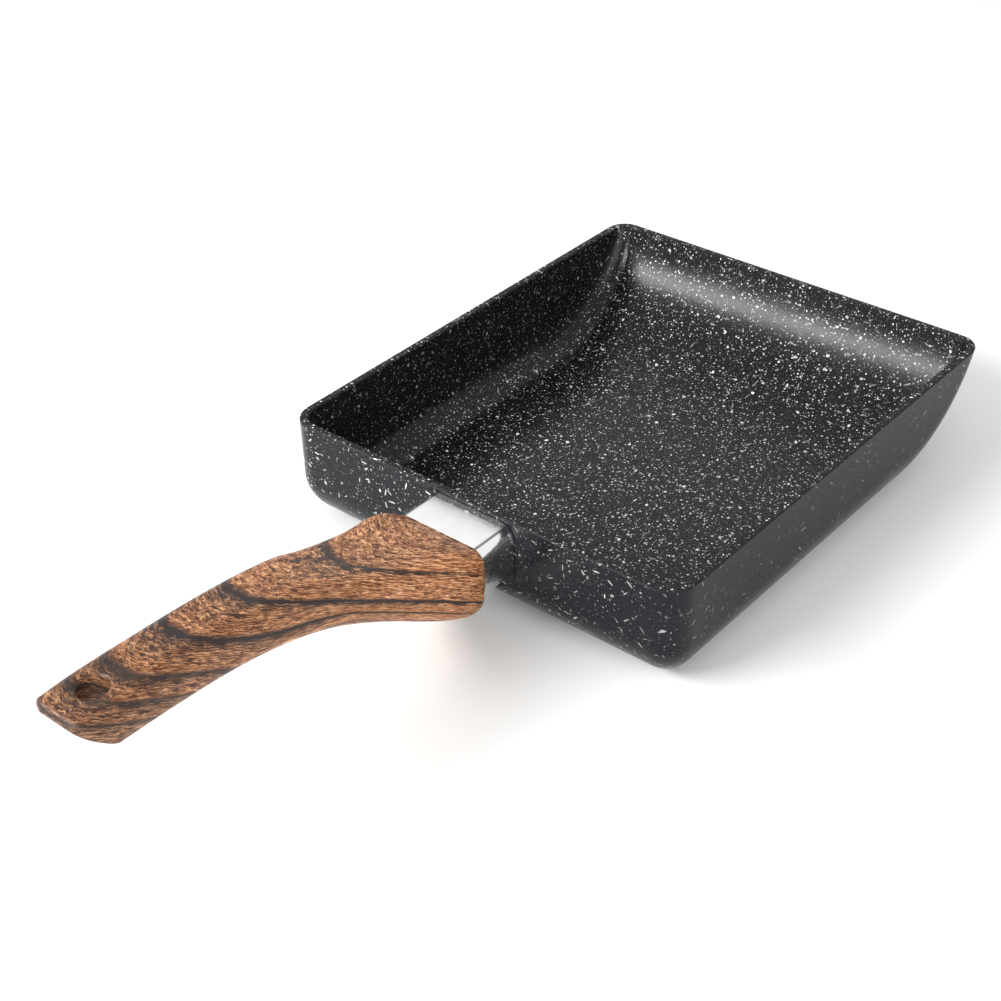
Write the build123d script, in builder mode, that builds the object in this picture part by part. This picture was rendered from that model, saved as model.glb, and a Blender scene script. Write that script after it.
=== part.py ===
"""Tamagoyaki pan: a rectangular coated aluminium omelette pan with a moulded handle.

Millimetres, +Z up. The origin is the middle of the flat underside, under the middle of
the rim. The handle leaves the front wall towards -Y, and the far wall curves up at +Y.
"""

import os
from math import acos, cos, degrees, radians, sin, sqrt

from build123d import *

# Pan: one pressed aluminium sheet, coated all over
pan_width = 150.0
pan_length = 175.0
pan_height = 36.0
pan_wall = 2.7
side_radius = 15.0  # outside, where the floor turns up into the sides and the front
far_radius = 52.0  # outside, of the far wall that an omelette is rolled up against
front_corner_radius = 8.8  # outside, in plan
far_corner_radius = 7.3  # outside, across the far wall's curve at the rim
rim_chamfer = 0.4
form_overshoot = 1.0  # how far the form is carried past a cut that trims it level

# Handle axis: the screw, boss, ferrule and the head of the handle share it
axis_height = 22.4

# Boss: aluminium block welded to the front wall, tapped for the handle screw
boss_width = 22.0
boss_height = 10.0
boss_length = 8.7
boss_corner = 3.0

# Ferrule: drawn steel sleeve that keeps the flame off the handle
ferrule_width = 34.0
ferrule_height = 20.6
ferrule_length = 12.5
ferrule_sheet = 1.0
ferrule_top_radius = 4.5
ferrule_bottom_radius = 9.0

# Collar: shallow coated pad on the front wall that the ferrule is pressed against
collar_depth = 0.3
collar_side = 0.6  # how far it shows beyond the ferrule at each side
collar_rise = 2.1  # the same at the top and the bottom
collar_top_radius = 5.0
collar_bottom_radius = 9.0

# Handle: moulded phenolic with a printed wood film
handle_length = 138.5  # from its shoulder against the ferrule to its tip
head_round = 1.0
tip_round = 2.0
tip_height = 57.2  # of the tip's upper edge over the pan's base
tip_undercut = 48.5  # degrees from upright, the underside ends short of the top
tenon_length = 9.5
tenon_clearance = 0.3
boss_clearance = 0.3
boss_end_gap = 0.8

# Stations along the handle: distance behind the shoulder as a share of its length, width,
# height of the top and of the underside over the pan's base, and the radii of the upper
# and lower edges. The last one lies past the tip, which is cut at its slant.
handle_stations = (
    (0.0, 33.4, 32.3, 8.6, 3.5, 8.5),
    (0.0361, 36.1, 35.5, 10.0, 4.0, 8.5),
    (0.0794, 36.3, 37.9, 12.6, 4.5, 8.5),
    (0.1372, 34.0, 39.8, 16.8, 5.0, 8.0),
    (0.2022, 31.0, 42.4, 22.0, 5.5, 7.5),
    (0.2888, 28.2, 46.5, 28.8, 6.0, 7.0),
    (0.3755, 25.6, 51.2, 34.3, 6.0, 7.0),
    (0.4765, 23.2, 54.9, 38.3, 6.0, 7.0),
    (0.5921, 21.4, 57.3, 40.9, 6.0, 7.0),
    (0.7220, 20.6, 58.5, 42.6, 6.0, 6.5),
    (0.8520, 21.2, 58.4, 43.9, 5.5, 6.0),
    (0.9819, 21.6, 57.1, 44.8, 5.0, 5.0),
    (1.0830, 21.6, 56.2, 45.5, 5.0, 5.0),
)

# Hang hole near the tip
hang_hole_diameter = 8.0
hang_hole_from_tip = 15.0
hang_hole_round = 1.5

# Handle screw with its two washers, in a recess that comes out under the handle
screw_diameter = 5.0
screw_length = 30.0
screw_tip_gap = 0.8
screw_tip_chamfer = 0.6
thread_clearance = 0.05
screw_bore_clearance = 0.3
screw_head_diameter = 9.4
screw_head_height = 3.6
screw_head_chamfer = 1.2
driver_recess_width = 1.2
driver_recess_length = 5.2
driver_recess_depth = 2.0
flat_washer_diameter = 10.0
flat_washer_thickness = 1.0
spring_washer_diameter = 9.0
spring_washer_thickness = 1.3
spring_washer_gap = 1.4
spring_washer_slant = 25.0  # degrees, of the cut through its ring
washer_bore_clearance = 0.2
recess_clearance = 0.7
recess_reach = 30.0  # how far behind its floor the recess runs out under the handle

# Places along Y, worked out from the sizes above
front_face = -pan_length / 2
collar_face = front_face - collar_depth
shoulder = collar_face - ferrule_length
boss_end = collar_face - boss_length
screw_seat = collar_face - screw_tip_gap - screw_length
spring_washer_front = screw_seat + spring_washer_thickness
recess_floor = spring_washer_front + flat_washer_thickness
handle_tip = shoulder - handle_length
curve_start = pan_length / 2 - sqrt(far_radius**2 - (far_radius - pan_height) ** 2)


def upright(y):
    """Plane square to the handle's axis, with its own Y up."""
    return Plane(origin=(0, y, 0), x_dir=(1, 0, 0), z_dir=(0, -1, 0))


def curve_plane(angle):
    """Plane square to the far wall's curve, the given degrees up from the floor."""
    turn = radians(angle)
    return Plane(
        origin=(0, curve_start + far_radius * sin(turn), far_radius * (1 - cos(turn))),
        x_dir=(1, 0, 0),
        z_dir=(0, -cos(turn), -sin(turn)),
    )


def rounded_slice(plane, width, bottom, top, lower_radius, upper_radius=0.0):
    """Slice of a piece: a rectangle between two heights, with rounded corners."""
    with BuildSketch(plane) as outline:
        with Locations((0, (top + bottom) / 2)):
            Rectangle(width, top - bottom)
        fillet(outline.vertices().group_by(Axis.Y)[0], lower_radius)
        if upper_radius:
            fillet(outline.vertices().group_by(Axis.Y)[-1], upper_radius)
    return outline.sketch


def pan_slice(plane, inset, top, corner):
    """Slice across the pan's form, inset from its outside."""
    return rounded_slice(plane, pan_width - 2 * inset, inset, top, corner)


def axis_slice(y, width, height, lower_radius, upper_radius):
    """Slice at the given Y whose middle is on the handle's axis."""
    bottom = axis_height - height / 2
    return rounded_slice(upright(y), width, bottom, bottom + height, lower_radius, upper_radius)


def axis_plane(y):
    """Plane at the given Y for round pieces on the handle's axis, facing the handle."""
    return Plane(origin=(0, y, axis_height), x_dir=(1, 0, 0), z_dir=(0, -1, 0))


def pan_block(inset, top):
    """Solid block of the pan's form, inset from the outside and cut level at the top."""
    floor_radius = side_radius - inset
    back_radius = far_radius - inset
    climb = degrees(acos((far_radius - top) / back_radius))
    front = front_face + inset
    over = top + form_overshoot
    trough = pan_slice(curve_plane(0), inset, top, floor_radius)
    slices = [
        pan_slice(curve_plane(0), inset, over, floor_radius),
        pan_slice(curve_plane(climb), inset, over, far_corner_radius - inset),
    ]

    with BuildPart() as front_half:
        extrude(trough, amount=curve_start - front)
        with BuildSketch(Plane.YZ):
            with BuildLine():
                bend = CenterArc((front + floor_radius, side_radius), floor_radius, 180, 90)
                square_end = ((curve_start, inset), (curve_start, top), (front, top))
                Polyline(bend @ 1, *square_end, bend @ 0)
            make_face()
        extrude(amount=pan_width / 2, both=True, mode=Mode.INTERSECT)
        corners = front_half.edges().filter_by(Axis.Z).group_by(Axis.Y)[0]
        fillet(corners, front_corner_radius - inset)

    with BuildPart() as far_half:
        with BuildLine(Plane.YZ) as path:
            CenterArc((curve_start, far_radius), back_radius, -90, climb)
        sweep([piece.face() for piece in slices], path.wire(), multisection=True)
        split(bisect_by=Plane.XY.offset(top), keep=Keep.BOTTOM)

    with BuildPart() as block:
        add(front_half.part)
        add(far_half.part)
    return block.part


with BuildPart() as pan_body:
    add(pan_block(0, pan_height))
    collar_slice = axis_slice(
        collar_face,
        ferrule_width + 2 * collar_side,
        ferrule_height + 2 * collar_rise,
        collar_bottom_radius,
        collar_top_radius,
    )
    extrude(collar_slice, amount=-(collar_depth + side_radius))
    add(pan_block(pan_wall, pan_height + form_overshoot), mode=Mode.SUBTRACT)
    chamfer(pan_body.faces().sort_by(Axis.Z)[-1].edges(), rim_chamfer)


with BuildPart() as handle_boss:
    boss_slice = axis_slice(collar_face, boss_width, boss_height, boss_corner, boss_corner)
    extrude(boss_slice, amount=boss_length)
    with BuildSketch(axis_plane(collar_face)):
        Circle(screw_diameter / 2 + thread_clearance)
    extrude(amount=boss_length, mode=Mode.SUBTRACT)


def ferrule_slice(inset):
    """Slice of the ferrule's outside at the collar, inset from it."""
    return axis_slice(
        collar_face,
        ferrule_width - 2 * inset,
        ferrule_height - 2 * inset,
        ferrule_bottom_radius - inset,
        ferrule_top_radius - inset,
    )


with BuildPart() as ferrule:
    extrude(ferrule_slice(0), amount=ferrule_length)
    extrude(ferrule_slice(ferrule_sheet), amount=ferrule_length, mode=Mode.SUBTRACT)

with BuildPart() as handle:
    loft(
        [
            rounded_slice(
                upright(shoulder - share * handle_length), width, bottom, top, lower, upper
            ).face()
            for share, width, top, bottom, upper, lower in handle_stations
        ]
    )
    slant = radians(tip_undercut)
    tip_plane = Plane(
        origin=(0, handle_tip, tip_height),
        x_dir=(1, 0, 0),
        z_dir=(0, cos(slant), sin(slant)),
    )
    split(bisect_by=tip_plane, keep=Keep.TOP)
    fillet(handle.faces().sort_by(Axis.Y)[0].edges(), tip_round)
    fillet(handle.faces().sort_by(Axis.Y)[-1].edges(), head_round)

    # Hang hole through the tip, its rims rounded above and below
    with BuildSketch(Plane.XY.offset(axis_height)):
        with Locations((0, handle_tip + hang_hole_from_tip)):
            Circle(hang_hole_diameter / 2)
    extrude(amount=2 * tip_height, mode=Mode.SUBTRACT)
    hole_wall = handle.faces().filter_by(GeomType.CYLINDER)
    rims = hole_wall.edges().filter_by(GeomType.LINE, reverse=True)
    fillet(rims, hang_hole_round)

    # Tenon that fills the ferrule, with a pocket round the boss
    fit = 2 * (ferrule_sheet + tenon_clearance)
    tenon_slice = axis_slice(
        shoulder,
        ferrule_width - fit,
        ferrule_height - fit,
        ferrule_bottom_radius - fit / 2,
        ferrule_top_radius - fit / 2,
    )
    extrude(tenon_slice, amount=-tenon_length)
    pocket_slice = axis_slice(
        boss_end - boss_end_gap,
        boss_width + 2 * boss_clearance,
        boss_height + 2 * boss_clearance,
        boss_corner + boss_clearance,
        boss_corner + boss_clearance,
    )
    extrude(pocket_slice, amount=-(boss_length + boss_end_gap), mode=Mode.SUBTRACT)

    # Way for the screw, and the recess for its head
    with BuildSketch(axis_plane(boss_end)):
        Circle(screw_diameter / 2 + screw_bore_clearance)
    extrude(amount=boss_end - recess_floor, mode=Mode.SUBTRACT)
    with BuildSketch(axis_plane(recess_floor)):
        Circle(flat_washer_diameter / 2 + recess_clearance)
    extrude(amount=recess_reach, mode=Mode.SUBTRACT)

with BuildPart() as handle_screw:
    with BuildSketch(axis_plane(screw_seat)):
        Circle(screw_diameter / 2)
    extrude(amount=-screw_length)
    chamfer(handle_screw.faces().sort_by(Axis.Y)[-1].edges(), screw_tip_chamfer)
    with BuildSketch(axis_plane(screw_seat)):
        Circle(screw_head_diameter / 2)
    extrude(amount=screw_head_height)
    head_edge = handle_screw.faces().sort_by(Axis.Y)[0].edges()
    chamfer(head_edge, screw_head_chamfer)
    with BuildSketch(axis_plane(screw_seat - screw_head_height)):
        Rectangle(driver_recess_length, driver_recess_width)
        Rectangle(driver_recess_width, driver_recess_length)
    extrude(amount=-driver_recess_depth, mode=Mode.SUBTRACT)

with BuildPart() as flat_washer:
    with BuildSketch(axis_plane(recess_floor)):
        Circle(flat_washer_diameter / 2)
        Circle(screw_diameter / 2 + washer_bore_clearance, mode=Mode.SUBTRACT)
    extrude(amount=flat_washer_thickness)

with BuildPart() as spring_washer:
    with BuildSketch(axis_plane(spring_washer_front)):
        Circle(spring_washer_diameter / 2)
        Circle(screw_diameter / 2 + washer_bore_clearance, mode=Mode.SUBTRACT)
    extrude(amount=spring_washer_thickness)
    middle = (0, spring_washer_front - spring_washer_thickness / 2, axis_height)
    cut_plane = Plane(origin=middle, x_dir=(1, 0, 0), z_dir=(0, 0, 1)).rotated(
        (0, spring_washer_slant, 0)
    )
    with BuildSketch(cut_plane):
        Rectangle(spring_washer_gap, 3 * spring_washer_thickness)
    extrude(amount=spring_washer_diameter, mode=Mode.SUBTRACT)

pieces = {
    "pan_body": pan_body,
    "handle_boss": handle_boss,
    "ferrule": ferrule,
    "handle": handle,
    "handle_screw": handle_screw,
    "flat_washer": flat_washer,
    "spring_washer": spring_washer,
}
os.makedirs("parts", exist_ok=True)
for name, piece in pieces.items():
    piece.part.label = name
    export_step(piece.part, f"parts/{name}.step")
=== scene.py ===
import math

import bpy
from mathutils import Matrix, Vector


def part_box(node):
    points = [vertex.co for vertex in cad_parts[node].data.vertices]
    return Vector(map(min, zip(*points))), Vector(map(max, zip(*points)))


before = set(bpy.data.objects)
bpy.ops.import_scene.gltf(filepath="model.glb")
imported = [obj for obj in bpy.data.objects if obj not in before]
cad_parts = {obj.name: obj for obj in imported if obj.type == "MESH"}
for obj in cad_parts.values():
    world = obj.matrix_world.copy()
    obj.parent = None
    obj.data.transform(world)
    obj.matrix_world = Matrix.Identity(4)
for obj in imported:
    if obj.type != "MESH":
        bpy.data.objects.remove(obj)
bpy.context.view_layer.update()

bl_info = {
    "name": "Tamagoyaki pan",
    "version": (1, 0, 0),
    "blender": (4, 5, 0),
    "location": "3D View > Sidebar > Omelette pan",
    "description": "Finishes a rolled-omelette pan on its CAD frame and lights it on a pale floor",
    "category": "Object",
}

MM = 0.001

# Places on the pan and its handle, in mm
PAN_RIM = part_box("pan_body")[1][2] / MM  # top of the rim
ABOVE_PAN = (0.0, -5.0, 60.0)  # over the middle, where the inside of the pan faces it
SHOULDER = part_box("ferrule")[0][1] / MM  # along Y, where the handle's shoulder meets the ferrule
HANDLE_CREST = 58.5  # height of the handle's highest stretch

# Camera, solved from the pan's outline in the photograph
CAMERA_PLACE = (0.2889, -0.4062, 0.3393)  # metres
CAMERA_HEADING = 40.91  # degrees to the left of +Y
CAMERA_DIP = 35.17  # degrees below level
CAMERA_ROLL = -1.70  # degrees
CAMERA_LENS = 64.54  # mm
CAMERA_SENSOR = 36.0  # mm wide

# Stage
FLOOR_GAP = 0.1 * MM  # under the pan's flat underside, so that the two don't share a plane
LAMP_DISTANCE = 1.3  # metres from the pan's middle


# ---------------------------------------------------------------- helpers


def linear(code, alpha=None):
    """The linear colour of an sRGB hex value, with alpha if one is given."""
    parts = [int(code[i : i + 2], 16) / 255 for i in (0, 2, 4)]
    turned = [c / 12.92 if c <= 0.04045 else ((c + 0.055) / 1.055) ** 2.4 for c in parts]
    return tuple(turned) if alpha is None else (*turned, alpha)


def add(tree, kind, inputs=None, **settings):
    """Adds a node, sets it up and feeds its inputs with values, sockets or nodes (their first output).

    The inputs go by name or by number. On a Map Range node, 1 and 2 are the range that comes in
    and 3 and 4 the range that goes out, each 0 to 1 if left out. A noise texture's values lie
    mostly between 0.3 and 0.7.
    """
    node = tree.nodes.new(kind)
    for name, value in settings.items():
        setattr(node, name, value)
    for key, value in (inputs or {}).items():
        if isinstance(value, bpy.types.Node):
            value = value.outputs[0]
        if isinstance(value, bpy.types.NodeSocket):
            tree.links.new(value, node.inputs[key])
        else:
            node.inputs[key].default_value = value
    return node


def new_material(name):
    """A material without nodes, and its node tree."""
    material = bpy.data.materials.new(name)
    material.use_nodes = True
    material.node_tree.nodes.clear()
    return material, material.node_tree


def skin(tree):
    """Where a point of the skin lies, in the part's own millimetres, and which way the skin faces."""
    coords = add(tree, "ShaderNodeTexCoord").outputs
    place = add(tree, "ShaderNodeVectorMath", {0: coords["Object"], "Scale": 1 / MM}, operation="SCALE")
    return place.outputs[0], coords["Normal"]


def finish_node(name, material):
    """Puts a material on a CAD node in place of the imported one."""
    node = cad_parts[name]
    node.data.materials.clear()
    node.data.materials.append(material)


# ---------------------------------------------------------------- sizes and colours


class CoatingSettings(bpy.types.PropertyGroup):
    inside: bpy.props.FloatVectorProperty(
        name="Inside", description="Colour of the coating inside the pan",
        subtype="COLOR", size=3, min=0, max=1, default=linear("0F1013"))
    outside: bpy.props.FloatVectorProperty(
        name="Outside", description="Colour of the coating outside the pan",
        subtype="COLOR", size=3, min=0, max=1, default=linear("13151A"))
    fleck: bpy.props.FloatVectorProperty(
        name="Fleck", description="Colour of the mineral flecks",
        subtype="COLOR", size=3, min=0, max=1, default=linear("F7F6F2"))
    dot_spacing: bpy.props.FloatProperty(
        name="Dot spacing", description="Mean distance between spots for dots, two in five of them filled",
        unit="LENGTH", subtype="DISTANCE", min=0.0005, max=0.02, default=1.5 * MM)
    needle_length: bpy.props.FloatProperty(
        name="Needle length", description="Half the length of a long fleck",
        unit="LENGTH", subtype="DISTANCE", min=0.0002, max=0.01, default=1.3 * MM)


class FilmSettings(bpy.types.PropertyGroup):
    light: bpy.props.FloatVectorProperty(
        name="Light wood", description="Lightest tone of the printed wood film",
        subtype="COLOR", size=3, min=0, max=1, default=linear("EFB486"))
    dark: bpy.props.FloatVectorProperty(
        name="Dark wood", description="Tone of the film's dark bands",
        subtype="COLOR", size=3, min=0, max=1, default=linear("241C1A"))


class MetalSettings(bpy.types.PropertyGroup):
    ferrule: bpy.props.FloatVectorProperty(
        name="Ferrule", description="Colour of the drawn steel sleeve",
        subtype="COLOR", size=3, min=0, max=1, default=linear("F0F1F0"))
    aluminium: bpy.props.FloatVectorProperty(
        name="Aluminium", description="Colour of the welded boss",
        subtype="COLOR", size=3, min=0, max=1, default=linear("D6D7D9"))
    zinc: bpy.props.FloatVectorProperty(
        name="Zinc", description="Colour of the plated screw and washers",
        subtype="COLOR", size=3, min=0, max=1, default=linear("C3C6CA"))


class StageSettings(bpy.types.PropertyGroup):
    floor: bpy.props.FloatVectorProperty(
        name="Floor", description="Colour of the floor",
        subtype="COLOR", size=3, min=0, max=1, default=linear("F8F8F7"))
    floor_size: bpy.props.FloatProperty(
        name="Floor size", description="Side of the square floor",
        unit="LENGTH", subtype="DISTANCE", min=1, max=20, default=8)
    fill: bpy.props.FloatProperty(
        name="Fill", description="Strength of the even light from all round",
        min=0, max=2, default=0.70)
    key_power: bpy.props.FloatProperty(
        name="Softbox power", description="Power of the long softbox at the front left",
        unit="POWER", min=0, max=200, default=18)
    side_power: bpy.props.FloatProperty(
        name="Reflector power", description="Power of the large white reflector at the front right",
        unit="POWER", min=0, max=200, default=7)


# ---------------------------------------------------------------- the pan's coating


def along_skin(tree, arrow, normal):
    """The part of an arrow that lies along the skin."""
    height = add(tree, "ShaderNodeVectorMath", {0: arrow, 1: normal}, operation="DOT_PRODUCT")
    lift = add(tree, "ShaderNodeVectorMath", {0: normal, "Scale": height.outputs["Value"]}, operation="SCALE")
    return add(tree, "ShaderNodeVectorMath", {0: arrow, 1: lift}, operation="SUBTRACT")


def fleck_group():
    """Flecks on any surface: one oval for each cell of a cloud of points, laid flat on the skin.

    Spacing is how far apart the points are, and Share is how many of the cells have a fleck.
    Length and Width are half of the oval's, and Edge is how soft its outline is.
    """
    group = bpy.data.node_groups.new("coating_flecks", "ShaderNodeTree")
    for name in ("Place", "Normal"):
        group.interface.new_socket(name=name, in_out="INPUT", socket_type="NodeSocketVector")
    for name in ("Spacing", "Share", "Length", "Width", "Edge"):
        group.interface.new_socket(name=name, in_out="INPUT", socket_type="NodeSocketFloat")
    group.interface.new_socket(name="Mask", in_out="OUTPUT", socket_type="NodeSocketFloat")
    given = add(group, "NodeGroupInput").outputs
    spacing, length, width, edge = (given[name] for name in ("Spacing", "Length", "Width", "Edge"))

    scaled = add(group, "ShaderNodeVectorMath", {0: given["Place"], 1: spacing}, operation="DIVIDE")
    cells = add(group, "ShaderNodeTexVoronoi", {"Vector": scaled, "Scale": 1.0, "Randomness": 1.0},
                voronoi_dimensions="3D", feature="F1").outputs
    # from the cell's own point to here, in millimetres
    away = add(group, "ShaderNodeVectorMath", {0: scaled, 1: cells["Position"]}, operation="SUBTRACT")
    away = add(group, "ShaderNodeVectorMath", {0: away, 1: spacing}, operation="MULTIPLY")
    flat = along_skin(group, away, given["Normal"])
    # the way the oval points, from the cell's random colour
    aim = add(group, "ShaderNodeVectorMath", {0: cells["Color"], 1: (0.5, 0.5, 0.5)}, operation="SUBTRACT")
    aim = along_skin(group, aim, given["Normal"])
    aim = add(group, "ShaderNodeVectorMath", {0: aim}, operation="NORMALIZE")
    # how far out in the oval this is: 0 at its middle and 1 at its edge
    along = add(group, "ShaderNodeVectorMath", {0: flat, 1: aim}, operation="DOT_PRODUCT").outputs["Value"]
    reach = add(group, "ShaderNodeVectorMath", {0: flat, 1: flat}, operation="DOT_PRODUCT").outputs["Value"]
    along_sq = add(group, "ShaderNodeMath", {0: along, 1: along}, operation="MULTIPLY")
    across_sq = add(group, "ShaderNodeMath", {0: reach, 1: along_sq}, operation="SUBTRACT")
    length_sq = add(group, "ShaderNodeMath", {0: length, 1: length}, operation="MULTIPLY")
    width_sq = add(group, "ShaderNodeMath", {0: width, 1: width}, operation="MULTIPLY")
    long_part = add(group, "ShaderNodeMath", {0: along_sq, 1: length_sq}, operation="DIVIDE")
    wide_part = add(group, "ShaderNodeMath", {0: across_sq, 1: width_sq}, operation="DIVIDE")
    oval = add(group, "ShaderNodeMath", {0: long_part, 1: wide_part}, operation="ADD")
    # each fleck has its own size and strength, and only a share of the cells has one
    chance = add(group, "ShaderNodeTexWhiteNoise", {"Vector": cells["Position"]}, noise_dimensions="3D")
    luck = add(group, "ShaderNodeSeparateColor", {0: chance.outputs["Color"]}).outputs
    size = add(group, "ShaderNodeMapRange", {"Value": luck[1], 3: 0.35, 4: 1.0})
    size_sq = add(group, "ShaderNodeMath", {0: size, 1: size}, operation="MULTIPLY")
    oval = add(group, "ShaderNodeMath", {0: oval, 1: size_sq}, operation="DIVIDE")
    # broken stone: the outline is uneven at 0.4 mm
    rough = add(group, "ShaderNodeTexNoise", {"Vector": given["Place"], "Scale": 2.6, "Detail": 2.0})
    rough = add(group, "ShaderNodeMapRange", {"Value": rough, 1: 0.3, 2: 0.7, 3: -0.45, 4: 0.45})
    oval = add(group, "ShaderNodeMath", {0: oval, 1: rough}, operation="ADD")
    inner = add(group, "ShaderNodeMath", {0: 1.0, 1: edge}, operation="SUBTRACT")
    outer = add(group, "ShaderNodeMath", {0: 1.0, 1: edge}, operation="ADD")
    mask = add(group, "ShaderNodeMapRange", {"Value": oval, 1: outer, 2: inner},
               interpolation_type="SMOOTHSTEP")
    there = add(group, "ShaderNodeMath", {0: luck[0], 1: given["Share"]}, operation="LESS_THAN")
    strength = add(group, "ShaderNodeMath", {0: luck[2], 1: luck[2]}, operation="MULTIPLY")
    strength = add(group, "ShaderNodeMapRange", {"Value": strength, 3: 0.45, 4: 1.0})
    mask = add(group, "ShaderNodeMath", {0: mask, 1: there}, operation="MULTIPLY")
    mask = add(group, "ShaderNodeMath", {0: mask, 1: strength}, operation="MULTIPLY")
    add(group, "NodeGroupOutput", {0: mask})
    return group


def sprayed_flecks(tree, s, place, normal, inside):
    """How much of the skin's colour is fleck, with each kind of fleck at its own size in mm."""
    group = fleck_group()
    kinds = (
        # dust, dots, needles and chips, and how strongly each shows inside and outside
        (dict(Spacing=1.1, Share=0.70, Length=0.24, Width=0.20, Edge=0.60), 0.26, 0.08),
        (dict(Spacing=s.dot_spacing / MM, Share=0.42, Length=0.34, Width=0.27, Edge=0.35), 1.0, 0.45),
        (dict(Spacing=5.0, Share=0.55, Length=s.needle_length / MM, Width=0.27, Edge=0.30), 0.38, 1.0),
        (dict(Spacing=5.0, Share=0.35, Length=0.68, Width=0.48, Edge=0.25), 1.0, 0.85),
    )
    total = 0.0
    for number, (fleck, within, without) in enumerate(kinds):
        # each kind is read at a place of its own, so that their clouds of points differ
        apart = (31.0 * number, 17.0, 5.0)
        moved = add(tree, "ShaderNodeVectorMath", {0: place, 1: apart}, operation="ADD")
        mask = add(tree, "ShaderNodeGroup", {"Place": moved, "Normal": normal, **fleck}, node_tree=group)
        level = add(tree, "ShaderNodeMapRange", {"Value": inside, 3: without, 4: within})
        shown = add(tree, "ShaderNodeMath", {0: mask, 1: level}, operation="MULTIPLY")
        total = add(tree, "ShaderNodeMath", {0: total, 1: shown}, operation="MAXIMUM")

    # painted shade: the side walls get fewer flecks, which darkens them
    sideways = add(tree, "ShaderNodeSeparateXYZ", {0: normal}).outputs[0]
    sideways = add(tree, "ShaderNodeMath", {0: sideways}, operation="ABSOLUTE")
    painted_shade_and_patches = add(tree, "ShaderNodeMapRange", {"Value": sideways, 1: 0.5, 2: 0.95, 3: 1.0, 4: 0.32})
    # outside it lies in patches about 18 mm wide
    patch = add(tree, "ShaderNodeTexNoise", {"Vector": place, "Scale": 0.055, "Detail": 1.0})
    patch = add(tree, "ShaderNodeMapRange", {"Value": patch, 1: 0.42, 2: 0.56, 3: 0.40, 4: 1.1})
    # painted shade: outside, the flecks thin out from left to right, which darkens the right side
    side = add(tree, "ShaderNodeSeparateXYZ", {0: place}).outputs[0]
    side = add(tree, "ShaderNodeMapRange", {"Value": side, 1: -40.0, 2: 40.0, 3: 1.0, 4: 0.55})
    patch = add(tree, "ShaderNodeMath", {0: patch, 1: side}, operation="MULTIPLY")
    patch = add(tree, "ShaderNodeMapRange", {"Value": inside, 3: patch, 4: 1.0})
    painted_shade_and_patches = add(tree, "ShaderNodeMath", {0: painted_shade_and_patches, 1: patch}, operation="MULTIPLY")
    return add(tree, "ShaderNodeMath", {0: total, 1: painted_shade_and_patches}, operation="MULTIPLY")


def sprayed_fluoropolymer(s):
    """Fluoropolymer non-stick coating, sprayed with stone flecks and baked on the pressed aluminium.

    A satin near-black skin with fine orange peel. Dust and dots under 0.7 mm lie dense inside.
    Chips of 0.5 to 1.4 mm lie thinner, and so do needles of 1 to 2.6 mm, which show most
    outside. The polymer's low index (about 1.35, matched down to 1.29) gives a weak, wide gloss.
    """
    material, tree = new_material("sprayed_fluoropolymer_coating")
    place, normal = skin(tree)
    # the inside is the skin that faces a point above the middle of the pan
    above = add(tree, "ShaderNodeVectorMath", {0: ABOVE_PAN, 1: place}, operation="SUBTRACT")
    facing = add(tree, "ShaderNodeVectorMath", {0: above, 1: normal}, operation="DOT_PRODUCT")
    inside = add(tree, "ShaderNodeMapRange", {"Value": facing.outputs["Value"], 1: -1.0, 2: 1.0})
    flecks = sprayed_flecks(tree, s, place, normal, inside)
    # the coat is a little thicker and lighter in clouds about 20 mm wide
    cloud = add(tree, "ShaderNodeTexNoise", {"Vector": place, "Scale": 0.045, "Detail": 3.0})
    tone = add(tree, "ShaderNodeMapRange", {"Value": cloud, 1: 0.3, 2: 0.7, 3: 0.85, 4: 1.15})
    base = add(tree, "ShaderNodeMix", {0: inside, 6: (*s.outside, 1), 7: (*s.inside, 1)}, data_type="RGBA")
    base = add(tree, "ShaderNodeVectorMath", {0: base.outputs[2], "Scale": tone}, operation="SCALE")
    colour = add(tree, "ShaderNodeMix", {0: flecks, 6: base, 7: (*s.fleck, 1)}, data_type="RGBA")
    # orange peel about 1 mm wide, and the flecks stand proud of it
    peel = add(tree, "ShaderNodeTexNoise", {"Vector": place, "Scale": 0.9, "Detail": 2.0})
    raised = add(tree, "ShaderNodeMath", {0: flecks, 1: 0.6, 2: peel}, operation="MULTIPLY_ADD")
    bump = add(tree, "ShaderNodeBump", {"Strength": 0.25, "Distance": 0.06 * MM, "Height": raised})
    roughness = add(tree, "ShaderNodeMapRange", {"Value": cloud, 1: 0.3, 2: 0.7, 3: 0.21, 4: 0.27})
    # the rim is cut after pressing and takes the coating thick and matt
    rim = add(tree, "ShaderNodeSeparateXYZ", {0: place}).outputs[2]
    rim = add(tree, "ShaderNodeMapRange", {"Value": rim, 1: PAN_RIM - 0.8, 2: PAN_RIM - 0.4, 3: 0.0, 4: 0.32})
    roughness = add(tree, "ShaderNodeMath", {0: roughness, 1: rim}, operation="ADD")
    shader = add(tree, "ShaderNodeBsdfPrincipled", {
        "Base Color": colour.outputs[2], "Roughness": roughness, "IOR": 1.29, "Normal": bump})
    add(tree, "ShaderNodeOutputMaterial", {"Surface": shader})
    return material


# ---------------------------------------------------------------- the handle's wood print

# The growth layers, in mm. A layer's number is how far behind the shoulder it meets the crest.
LAYER_SLOPE = 1.85  # along the handle, for each mm of height
LAYER_RUN = (0.0, -0.88, 0.47)  # the way that they run, as seen from the side
LAYER_BOW = 0.03  # times the square of the distance from the middle, back towards the pan
SAG = 11.0  # along the handle, at the shoulder
SAG_REACH = 60.0  # behind the shoulder
CROWDED_LAYER = 82.0  # the layers under this one crowd together towards the pan
CROWDING = 2.2  # the most, which brings them 3.2 times as close
CROWDING_RISE = 16.6  # how fast it gets there
CROWDING_REACH = (10.0, 90.0)  # behind the shoulder

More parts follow.
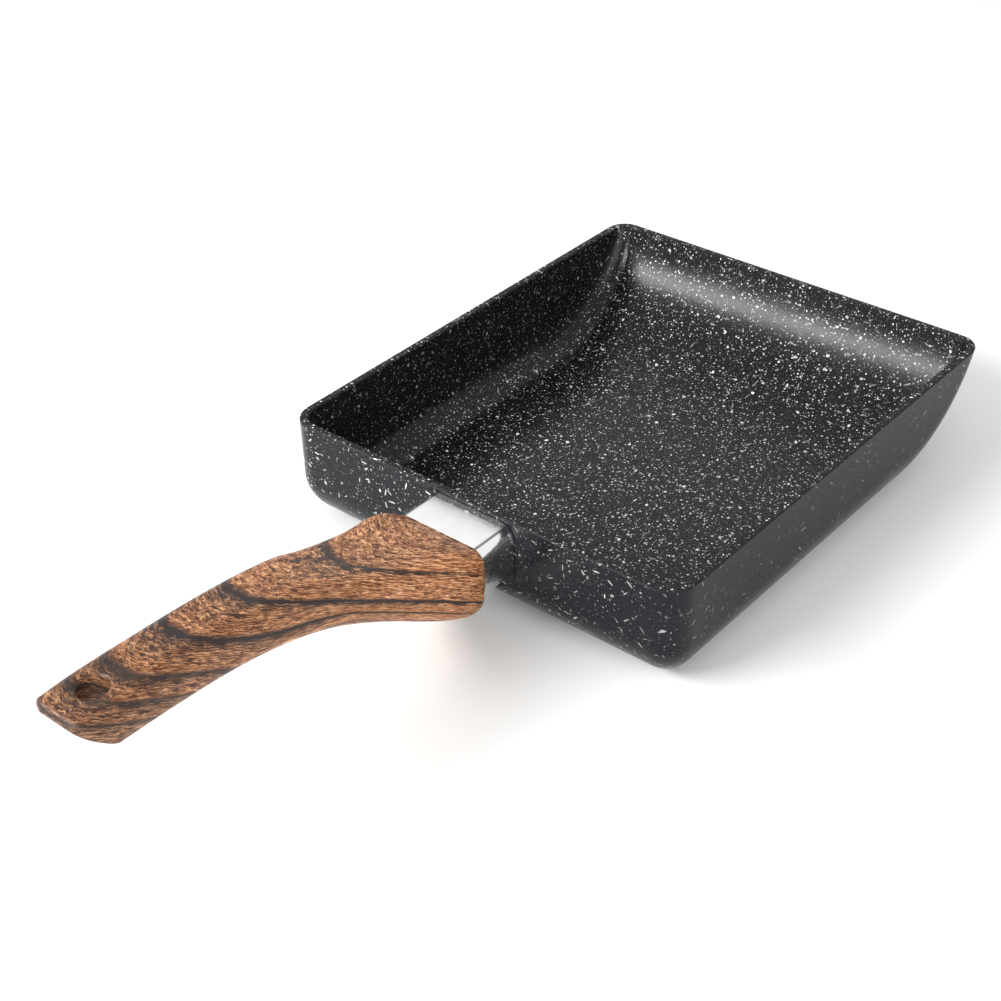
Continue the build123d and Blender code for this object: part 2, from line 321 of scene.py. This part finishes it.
# The dark bands: the growth layer at the band's middle, its strength and its width, in mm.
DARK_BANDS = (
    (61.0, 0.97, 3.0),
    (80.0, 1.00, 4.0),
    (99.0, 1.00, 4.3),
    (116.5, 0.95, 3.8),
    (128.0, 0.95, 3.4),
    (139.0, 0.90, 3.0),
)
# Across a band: the distance from its middle in widths, and the share of its strength. It has
# a clean edge towards the pan and a streaky tail towards the tip.
BAND_SHAPE = ((-0.85, 0.0), (-0.25, 1.0), (0.12, 1.0), (0.80, 0.60), (2.7, 0.0))
# The layers that the bands' colour ramp covers
FIRST_LAYER = 40.0
LAST_LAYER = 170.0


def growth_layers(tree, axis, along):
    """The number of the growth layer at a point."""
    # the layers slope down towards the pan
    layer = add(tree, "ShaderNodeMath", {0: axis[2], 1: -LAYER_SLOPE, 2: LAYER_SLOPE * HANDLE_CREST},
                operation="MULTIPLY_ADD")
    layer = add(tree, "ShaderNodeMath", {0: layer, 1: along}, operation="ADD")
    # they curve back towards it at the sides
    bow = add(tree, "ShaderNodeMath", {0: axis[0], 1: axis[0]}, operation="MULTIPLY")
    layer = add(tree, "ShaderNodeMath", {0: bow, 1: LAYER_BOW, 2: layer}, operation="MULTIPLY_ADD")
    # close to the shoulder they sag
    near = add(tree, "ShaderNodeMapRange", {"Value": along, 1: 0.0, 2: SAG_REACH, 3: 1.0, 4: 0.0})
    sag = add(tree, "ShaderNodeMath", {0: near, 1: 1.5}, operation="POWER")
    layer = add(tree, "ShaderNodeMath", {0: sag, 1: -SAG, 2: layer}, operation="MULTIPLY_ADD")
    # and the lower ones crowd together
    first, last = CROWDING_REACH
    near = add(tree, "ShaderNodeMapRange", {"Value": along, 1: first, 2: last, 3: 1.0, 4: 0.0})
    crowd = add(tree, "ShaderNodeMath", {0: near, 1: 3.0}, operation="POWER")
    crowd = add(tree, "ShaderNodeMath", {0: crowd, 1: CROWDING_RISE}, operation="MULTIPLY")
    crowd = add(tree, "ShaderNodeMath", {0: crowd, 1: CROWDING}, operation="MINIMUM")
    below = add(tree, "ShaderNodeMath", {0: layer, 1: CROWDED_LAYER}, operation="SUBTRACT")
    below = add(tree, "ShaderNodeMath", {0: below, 1: 0.0}, operation="MAXIMUM")
    return add(tree, "ShaderNodeMath", {0: crowd, 1: below, 2: layer}, operation="MULTIPLY_ADD")


def dark_bands(tree, layer, streak, along):
    """How dark the bands are at a point, from its growth layer and the streak that it is in."""
    # the streaks break up the bands' edges by 1 mm each way
    ragged = add(tree, "ShaderNodeMapRange", {"Value": streak, 1: 0.3, 2: 0.7, 3: -1.0, 4: 1.0})
    number = add(tree, "ShaderNodeMath", {0: layer, 1: ragged}, operation="ADD")
    number = add(tree, "ShaderNodeMapRange", {"Value": number, 1: FIRST_LAYER, 2: LAST_LAYER})
    bands = add(tree, "ShaderNodeValToRGB", {0: number})
    stops = bands.color_ramp.elements
    stops[0].color = stops[1].color = (0.0, 0.0, 0.0, 1.0)
    for middle, strength, width in DARK_BANDS:
        for shift, share in BAND_SHAPE:
            level = share * strength
            stop = stops.new((middle + shift * width - FIRST_LAYER) / (LAST_LAYER - FIRST_LAYER))
            stop.color = (level, level, level, 1.0)
    torn = add(tree, "ShaderNodeMapRange", {"Value": streak, 1: 0.40, 2: 0.60, 3: 0.35, 4: 2.2})
    band = add(tree, "ShaderNodeMath", {0: bands, 1: torn}, operation="POWER")
    # the bands' arms thin out to fine lines towards the pan
    thin = add(tree, "ShaderNodeMapRange", {"Value": along, 1: 0.0, 2: 62.0, 3: 0.93, 4: 0.0})
    return add(tree, "ShaderNodeMapRange", {"Value": band, 1: thin, 2: 1.0})


def printed_phenolic(s):
    """Moulded phenolic with a water-transfer wood print under a satin lacquer.

    The print has growth bands that arch over the top and sweep down the sides to the pan,
    3 to 4 mm wide and nearly black, with curly streaks under 1 mm wide between them. The
    lacquer's index is matched below its usual 1.5, because it is flatted to a weak sheen.
    """
    material, tree = new_material("wood_printed_phenolic")
    place, _ = skin(tree)
    axis = add(tree, "ShaderNodeSeparateXYZ", {0: place}).outputs
    # how far behind the shoulder, and how far along a layer as seen from the side
    along = add(tree, "ShaderNodeMath", {0: axis[1], 1: -1.0, 2: SHOULDER}, operation="MULTIPLY_ADD")
    run = add(tree, "ShaderNodeVectorMath", {0: place, 1: LAYER_RUN}, operation="DOT_PRODUCT")
    run = run.outputs["Value"]
    layer = growth_layers(tree, axis, along)
    # the layers drift up to 2.5 mm each way over 20 to 35 mm
    drift = add(tree, "ShaderNodeVectorMath", {0: place, 1: (0.05, 0.028, 0.05)}, operation="MULTIPLY")
    drift = add(tree, "ShaderNodeTexNoise", {"Vector": drift, "Scale": 1.0, "Detail": 1.0})
    drift = add(tree, "ShaderNodeMapRange", {"Value": drift, 3: -2.5, 4: 2.5})
    # curly figure: ripples 1.5 mm apart bend every streak on the top, and fade on the sides
    ripple = add(tree, "ShaderNodeCombineXYZ", {0: axis[0], 1: run, 2: layer})
    ripple = add(tree, "ShaderNodeVectorMath", {0: ripple, 1: (0.68, 0.64, 0.25)}, operation="MULTIPLY")
    ripple = add(tree, "ShaderNodeTexNoise", {"Vector": ripple, "Scale": 1.0, "Detail": 2.0})
    curl = add(tree, "ShaderNodeMapRange", {"Value": ripple, 3: -1.5, 4: 1.5})
    flank = add(tree, "ShaderNodeMath", {0: axis[0]}, operation="ABSOLUTE")
    flank = add(tree, "ShaderNodeMapRange", {"Value": flank, 1: 7.0, 2: 14.0, 3: 1.0, 4: 0.25})
    curl = add(tree, "ShaderNodeMath", {0: curl, 1: flank}, operation="MULTIPLY")
    layer = add(tree, "ShaderNodeMath", {0: layer, 1: drift}, operation="ADD")
    layer = add(tree, "ShaderNodeMath", {0: layer, 1: curl}, operation="ADD")

    # the grain follows the layers: its scales are per mm across them, along them and sideways
    grain = add(tree, "ShaderNodeCombineXYZ", {0: layer, 1: run, 2: axis[0]})
    # streaks 0.5 mm wide and 4.5 mm long
    streak = add(tree, "ShaderNodeVectorMath", {0: grain, 1: (1.9, 0.22, 0.36)}, operation="MULTIPLY")
    streak = add(tree, "ShaderNodeTexNoise", {
        "Vector": streak, "Scale": 1.0, "Detail": 3.0, "Roughness": 0.6})
    # pores: short dark dashes, 0.4 mm by 2 mm
    pore = add(tree, "ShaderNodeVectorMath", {0: grain, 1: (2.6, 0.55, 0.8)}, operation="MULTIPLY")
    pore = add(tree, "ShaderNodeTexNoise", {"Vector": pore, "Scale": 1.0, "Detail": 1.0})
    pore = add(tree, "ShaderNodeMapRange", {"Value": pore, 1: 0.50, 2: 0.64})
    pore = add(tree, "ShaderNodeMath", {0: pore, 1: 0.75}, operation="MULTIPLY")
    # clouds of lighter and darker wood, 8 mm by 30 mm
    cloud = add(tree, "ShaderNodeVectorMath", {0: grain, 1: (0.12, 0.03, 0.05)}, operation="MULTIPLY")
    cloud = add(tree, "ShaderNodeTexNoise", {"Vector": cloud, "Scale": 1.0, "Detail": 1.0})
    band = dark_bands(tree, layer, streak, along)

    wood = add(tree, "ShaderNodeValToRGB", {0: streak})
    tones = wood.color_ramp.elements
    tones[0].position = 0.38
    tones[0].color = linear("462310", 1.0)
    tones[1].position = 0.62
    tones[1].color = (*s.light, 1.0)
    for position, code in ((0.44, "7C4828"), (0.50, "AD7046"), (0.55, "CA8E60")):
        tones.new(position).color = linear(code, 1.0)
    # painted sheen: the colour is lighter and darker along the ripples, as if they caught more or less light;
    # and the colour darkens towards the tip
    shade = add(tree, "ShaderNodeMapRange", {"Value": cloud, 1: 0.3, 2: 0.7, 3: 0.82, 4: 1.12})
    painted_sheen = add(tree, "ShaderNodeMapRange", {"Value": ripple, 1: 0.3, 2: 0.7, 3: 0.78, 4: 1.20})
    shade = add(tree, "ShaderNodeMath", {0: shade, 1: painted_sheen}, operation="MULTIPLY")
    fade = add(tree, "ShaderNodeMapRange", {"Value": along, 1: 20.0, 2: 130.0, 3: 1.0, 4: 0.52})
    shade = add(tree, "ShaderNodeMath", {0: shade, 1: fade}, operation="MULTIPLY")
    colour = add(tree, "ShaderNodeVectorMath", {0: wood, "Scale": shade}, operation="SCALE")
    for mask, tone in ((pore, linear("3B2114", 1.0)), (band, (*s.dark, 1))):
        colour = add(tree, "ShaderNodeMix", {0: mask, 6: colour, 7: tone}, data_type="RGBA").outputs[2]
    bump = add(tree, "ShaderNodeBump", {"Strength": 0.25, "Distance": 0.05 * MM, "Height": streak})
    roughness = add(tree, "ShaderNodeMapRange", {"Value": streak, 1: 0.3, 2: 0.7, 3: 0.52, 4: 0.44})
    shader = add(tree, "ShaderNodeBsdfPrincipled", {
        "Base Color": colour, "Roughness": roughness, "IOR": 1.38, "Normal": bump})
    add(tree, "ShaderNodeOutputMaterial", {"Surface": shader})
    return material


# ---------------------------------------------------------------- metals and the floor


def drawn_steel(s):
    """Bright drawn stainless steel: nearly a mirror, with faint clouds left by polishing."""
    material, tree = new_material("drawn_stainless_steel")
    place, normal = skin(tree)
    cloud = add(tree, "ShaderNodeTexNoise", {"Vector": place, "Scale": 0.30, "Detail": 2.0, "Roughness": 0.5})
    # the top is rubbed to a satin, the sides keep the die's shine
    upward = add(tree, "ShaderNodeSeparateXYZ", {0: normal}).outputs[2]
    satin = add(tree, "ShaderNodeMapRange", {"Value": upward, 1: 0.93, 2: 0.99, 3: 0.0, 4: 0.36})
    roughness = add(tree, "ShaderNodeMapRange", {"Value": cloud, 1: 0.3, 2: 0.7, 3: 0.10, 4: 0.20})
    roughness = add(tree, "ShaderNodeMath", {0: roughness, 1: satin}, operation="ADD")
    bump = add(tree, "ShaderNodeBump", {"Strength": 0.3, "Distance": 0.12 * MM, "Height": cloud})
    # painted shade: a dark line in the colour where the flat top turns down into the shoulder, 15 degrees on
    painted_shade_line = add(tree, "ShaderNodeMath", {0: upward, 1: 0.966}, operation="SUBTRACT")
    painted_shade_line = add(tree, "ShaderNodeMath", {0: painted_shade_line}, operation="ABSOLUTE")
    painted_shade_line = add(tree, "ShaderNodeMapRange", {"Value": painted_shade_line, 1: 0.012, 2: 0.032, 3: 0.25, 4: 1.0})
    colour = add(tree, "ShaderNodeVectorMath", {0: s.ferrule, "Scale": painted_shade_line}, operation="SCALE")
    shader = add(tree, "ShaderNodeBsdfPrincipled", {
        "Base Color": colour, "Metallic": 1.0, "Roughness": roughness, "Normal": bump})
    add(tree, "ShaderNodeOutputMaterial", {"Surface": shader})
    return material


def grained_metal(name, colour, roughness, grain):
    """A plain metal whose fine grain spreads its shine: extruded aluminium, or zinc plated on steel.

    The grain is given in clouds per mm.
    """
    material, tree = new_material(name)
    place, _ = skin(tree)
    cloud = add(tree, "ShaderNodeTexNoise", {"Vector": place, "Scale": grain, "Detail": 3.0})
    spread = add(tree, "ShaderNodeMapRange", {
        "Value": cloud, 1: 0.3, 2: 0.7, 3: roughness - 0.06, 4: roughness + 0.06})
    bump = add(tree, "ShaderNodeBump", {"Strength": 0.3, "Distance": 0.05 * MM, "Height": cloud})
    shader = add(tree, "ShaderNodeBsdfPrincipled", {
        "Base Color": (*colour, 1), "Metallic": 1.0, "Roughness": spread, "Normal": bump})
    add(tree, "ShaderNodeOutputMaterial", {"Surface": shader})
    return material


def painted_board(s):
    """Matt painted board, as a photographer's table has."""
    material, tree = new_material("matt_painted_board")
    shader = add(tree, "ShaderNodeBsdfPrincipled", {"Base Color": (*s.floor, 1), "Roughness": 0.9})
    add(tree, "ShaderNodeOutputMaterial", {"Surface": shader})
    return material


# ---------------------------------------------------------------- operators


class PAN_OT_pan_body(bpy.types.Operator):
    """Coat the pressed pan with its flecked non-stick finish"""

    bl_idname = "omelette_pan.pan_body"
    bl_label = "Coat the pan"

    def execute(self, context):
        finish_node("pan_body", sprayed_fluoropolymer(context.scene.pan_coating))
        return {"FINISHED"}


class PAN_OT_handle(bpy.types.Operator):
    """Give the handle its wood print"""

    bl_idname = "omelette_pan.handle"
    bl_label = "Print the handle"

    def execute(self, context):
        finish_node("handle", printed_phenolic(context.scene.pan_film))
        return {"FINISHED"}


class PAN_OT_metal(bpy.types.Operator):
    """Finish the ferrule, the boss, the screw and its washers"""

    bl_idname = "omelette_pan.metal"
    bl_label = "Finish the metal parts"

    def execute(self, context):
        s = context.scene.pan_metal
        finish_node("ferrule", drawn_steel(s))
        extruded = grained_metal("extruded_aluminium", s.aluminium, roughness=0.42, grain=0.8)
        finish_node("handle_boss", extruded)
        plated = grained_metal("zinc_plated_steel", s.zinc, roughness=0.3, grain=1.5)
        for name in ("handle_screw", "flat_washer", "spring_washer"):
            finish_node(name, plated)
        return {"FINISHED"}


class PAN_OT_stage(bpy.types.Operator):
    """Set up the floor, the light and the camera"""

    bl_idname = "omelette_pan.stage"
    bl_label = "Set the stage"

    def execute(self, context):
        scene = context.scene
        s = scene.pan_stage
        bpy.ops.object.select_all(action="DESELECT")
        bpy.ops.mesh.primitive_plane_add(size=s.floor_size, location=(0, 0, -FLOOR_GAP))
        floor = context.active_object
        floor.name = "floor"
        floor.data.materials.append(painted_board(s))

        lamps = (
            # name, direction from the pan, width and height in metres, power in watts
            ("softbox", (-0.45, -0.75, 0.60), 0.95, 0.24, s.key_power),
            ("reflector", (0.85, -0.45, 0.40), 1.0, 0.8, s.side_power),
        )
        for name, direction, width, height, power in lamps:
            bpy.ops.object.light_add(type="AREA")
            lamp = context.active_object
            lamp.name = name
            toward = Vector(direction).normalized()
            lamp.location = toward * LAMP_DISTANCE
            lamp.rotation_euler = toward.to_track_quat("Z", "Y").to_euler()
            lamp.data.shape = "RECTANGLE"
            lamp.data.size = width
            lamp.data.size_y = height
            lamp.data.energy = power

        world = bpy.data.worlds.new("white_surround")
        world.use_nodes = True
        tree = world.node_tree
        tree.nodes.clear()
        ray = add(tree, "ShaderNodeLightPath").outputs
        # camera, gloss and transmission rays see plain white, and the rest get the fill light
        seen = add(tree, "ShaderNodeMath", {0: ray["Is Camera Ray"], 1: ray["Is Glossy Ray"]},
                   operation="MAXIMUM")
        seen = add(tree, "ShaderNodeMath", {0: seen, 1: ray["Is Transmission Ray"]}, operation="MAXIMUM")
        lit = add(tree, "ShaderNodeBackground", {0: (1.0, 1.0, 1.0, 1.0), 1: s.fill})
        white = add(tree, "ShaderNodeBackground", {0: (1.0, 1.0, 1.0, 1.0), 1: 1.0})
        both = add(tree, "ShaderNodeMixShader", {0: seen, 1: lit, 2: white})
        add(tree, "ShaderNodeOutputWorld", {0: both})
        scene.world = world

        bpy.ops.object.camera_add()
        camera = context.active_object
        camera.name = "camera"
        camera.data.sensor_width = CAMERA_SENSOR
        camera.data.lens = CAMERA_LENS
        heading = Matrix.Rotation(math.radians(CAMERA_HEADING), 4, "Z")
        dip = Matrix.Rotation(math.radians(90 - CAMERA_DIP), 4, "X")
        roll = Matrix.Rotation(math.radians(CAMERA_ROLL), 4, "Z")
        camera.matrix_world = Matrix.Translation(CAMERA_PLACE) @ heading @ dip @ roll
        camera.data.clip_start = 0.01
        camera.data.clip_end = 50
        scene.camera = camera
        scene.view_settings.view_transform = "Standard"
        return {"FINISHED"}


class PAN_PT_panel(bpy.types.Panel):
    """The pan's pieces, sizes and colours"""

    bl_label = "Omelette pan"
    bl_idname = "PAN_PT_panel"
    bl_space_type = "VIEW_3D"
    bl_region_type = "UI"
    bl_category = "Omelette pan"

    def draw(self, context):
        groups = (
            (context.scene.pan_coating, PAN_OT_pan_body),
            (context.scene.pan_film, PAN_OT_handle),
            (context.scene.pan_metal, PAN_OT_metal),
            (context.scene.pan_stage, PAN_OT_stage),
        )
        for settings, operator in groups:
            box = self.layout.box()
            for name in settings.bl_rna.properties.keys():
                if name not in ("rna_type", "name"):
                    box.prop(settings, name)
            box.operator(operator.bl_idname)


CLASSES = (
    CoatingSettings, FilmSettings, MetalSettings, StageSettings,
    PAN_OT_pan_body, PAN_OT_handle, PAN_OT_metal, PAN_OT_stage, PAN_PT_panel,
)


def register():
    for each in CLASSES:
        bpy.utils.register_class(each)
    bpy.types.Scene.pan_coating = bpy.props.PointerProperty(type=CoatingSettings)
    bpy.types.Scene.pan_film = bpy.props.PointerProperty(type=FilmSettings)
    bpy.types.Scene.pan_metal = bpy.props.PointerProperty(type=MetalSettings)
    bpy.types.Scene.pan_stage = bpy.props.PointerProperty(type=StageSettings)


def unregister():
    del bpy.types.Scene.pan_stage
    del bpy.types.Scene.pan_metal
    del bpy.types.Scene.pan_film
    del bpy.types.Scene.pan_coating
    for each in reversed(CLASSES):
        bpy.utils.unregister_class(each)


def main():
    register()
    bpy.ops.omelette_pan.pan_body()
    bpy.ops.omelette_pan.handle()
    bpy.ops.omelette_pan.metal()
    bpy.ops.omelette_pan.stage()


if __name__ == "__main__":
    main()
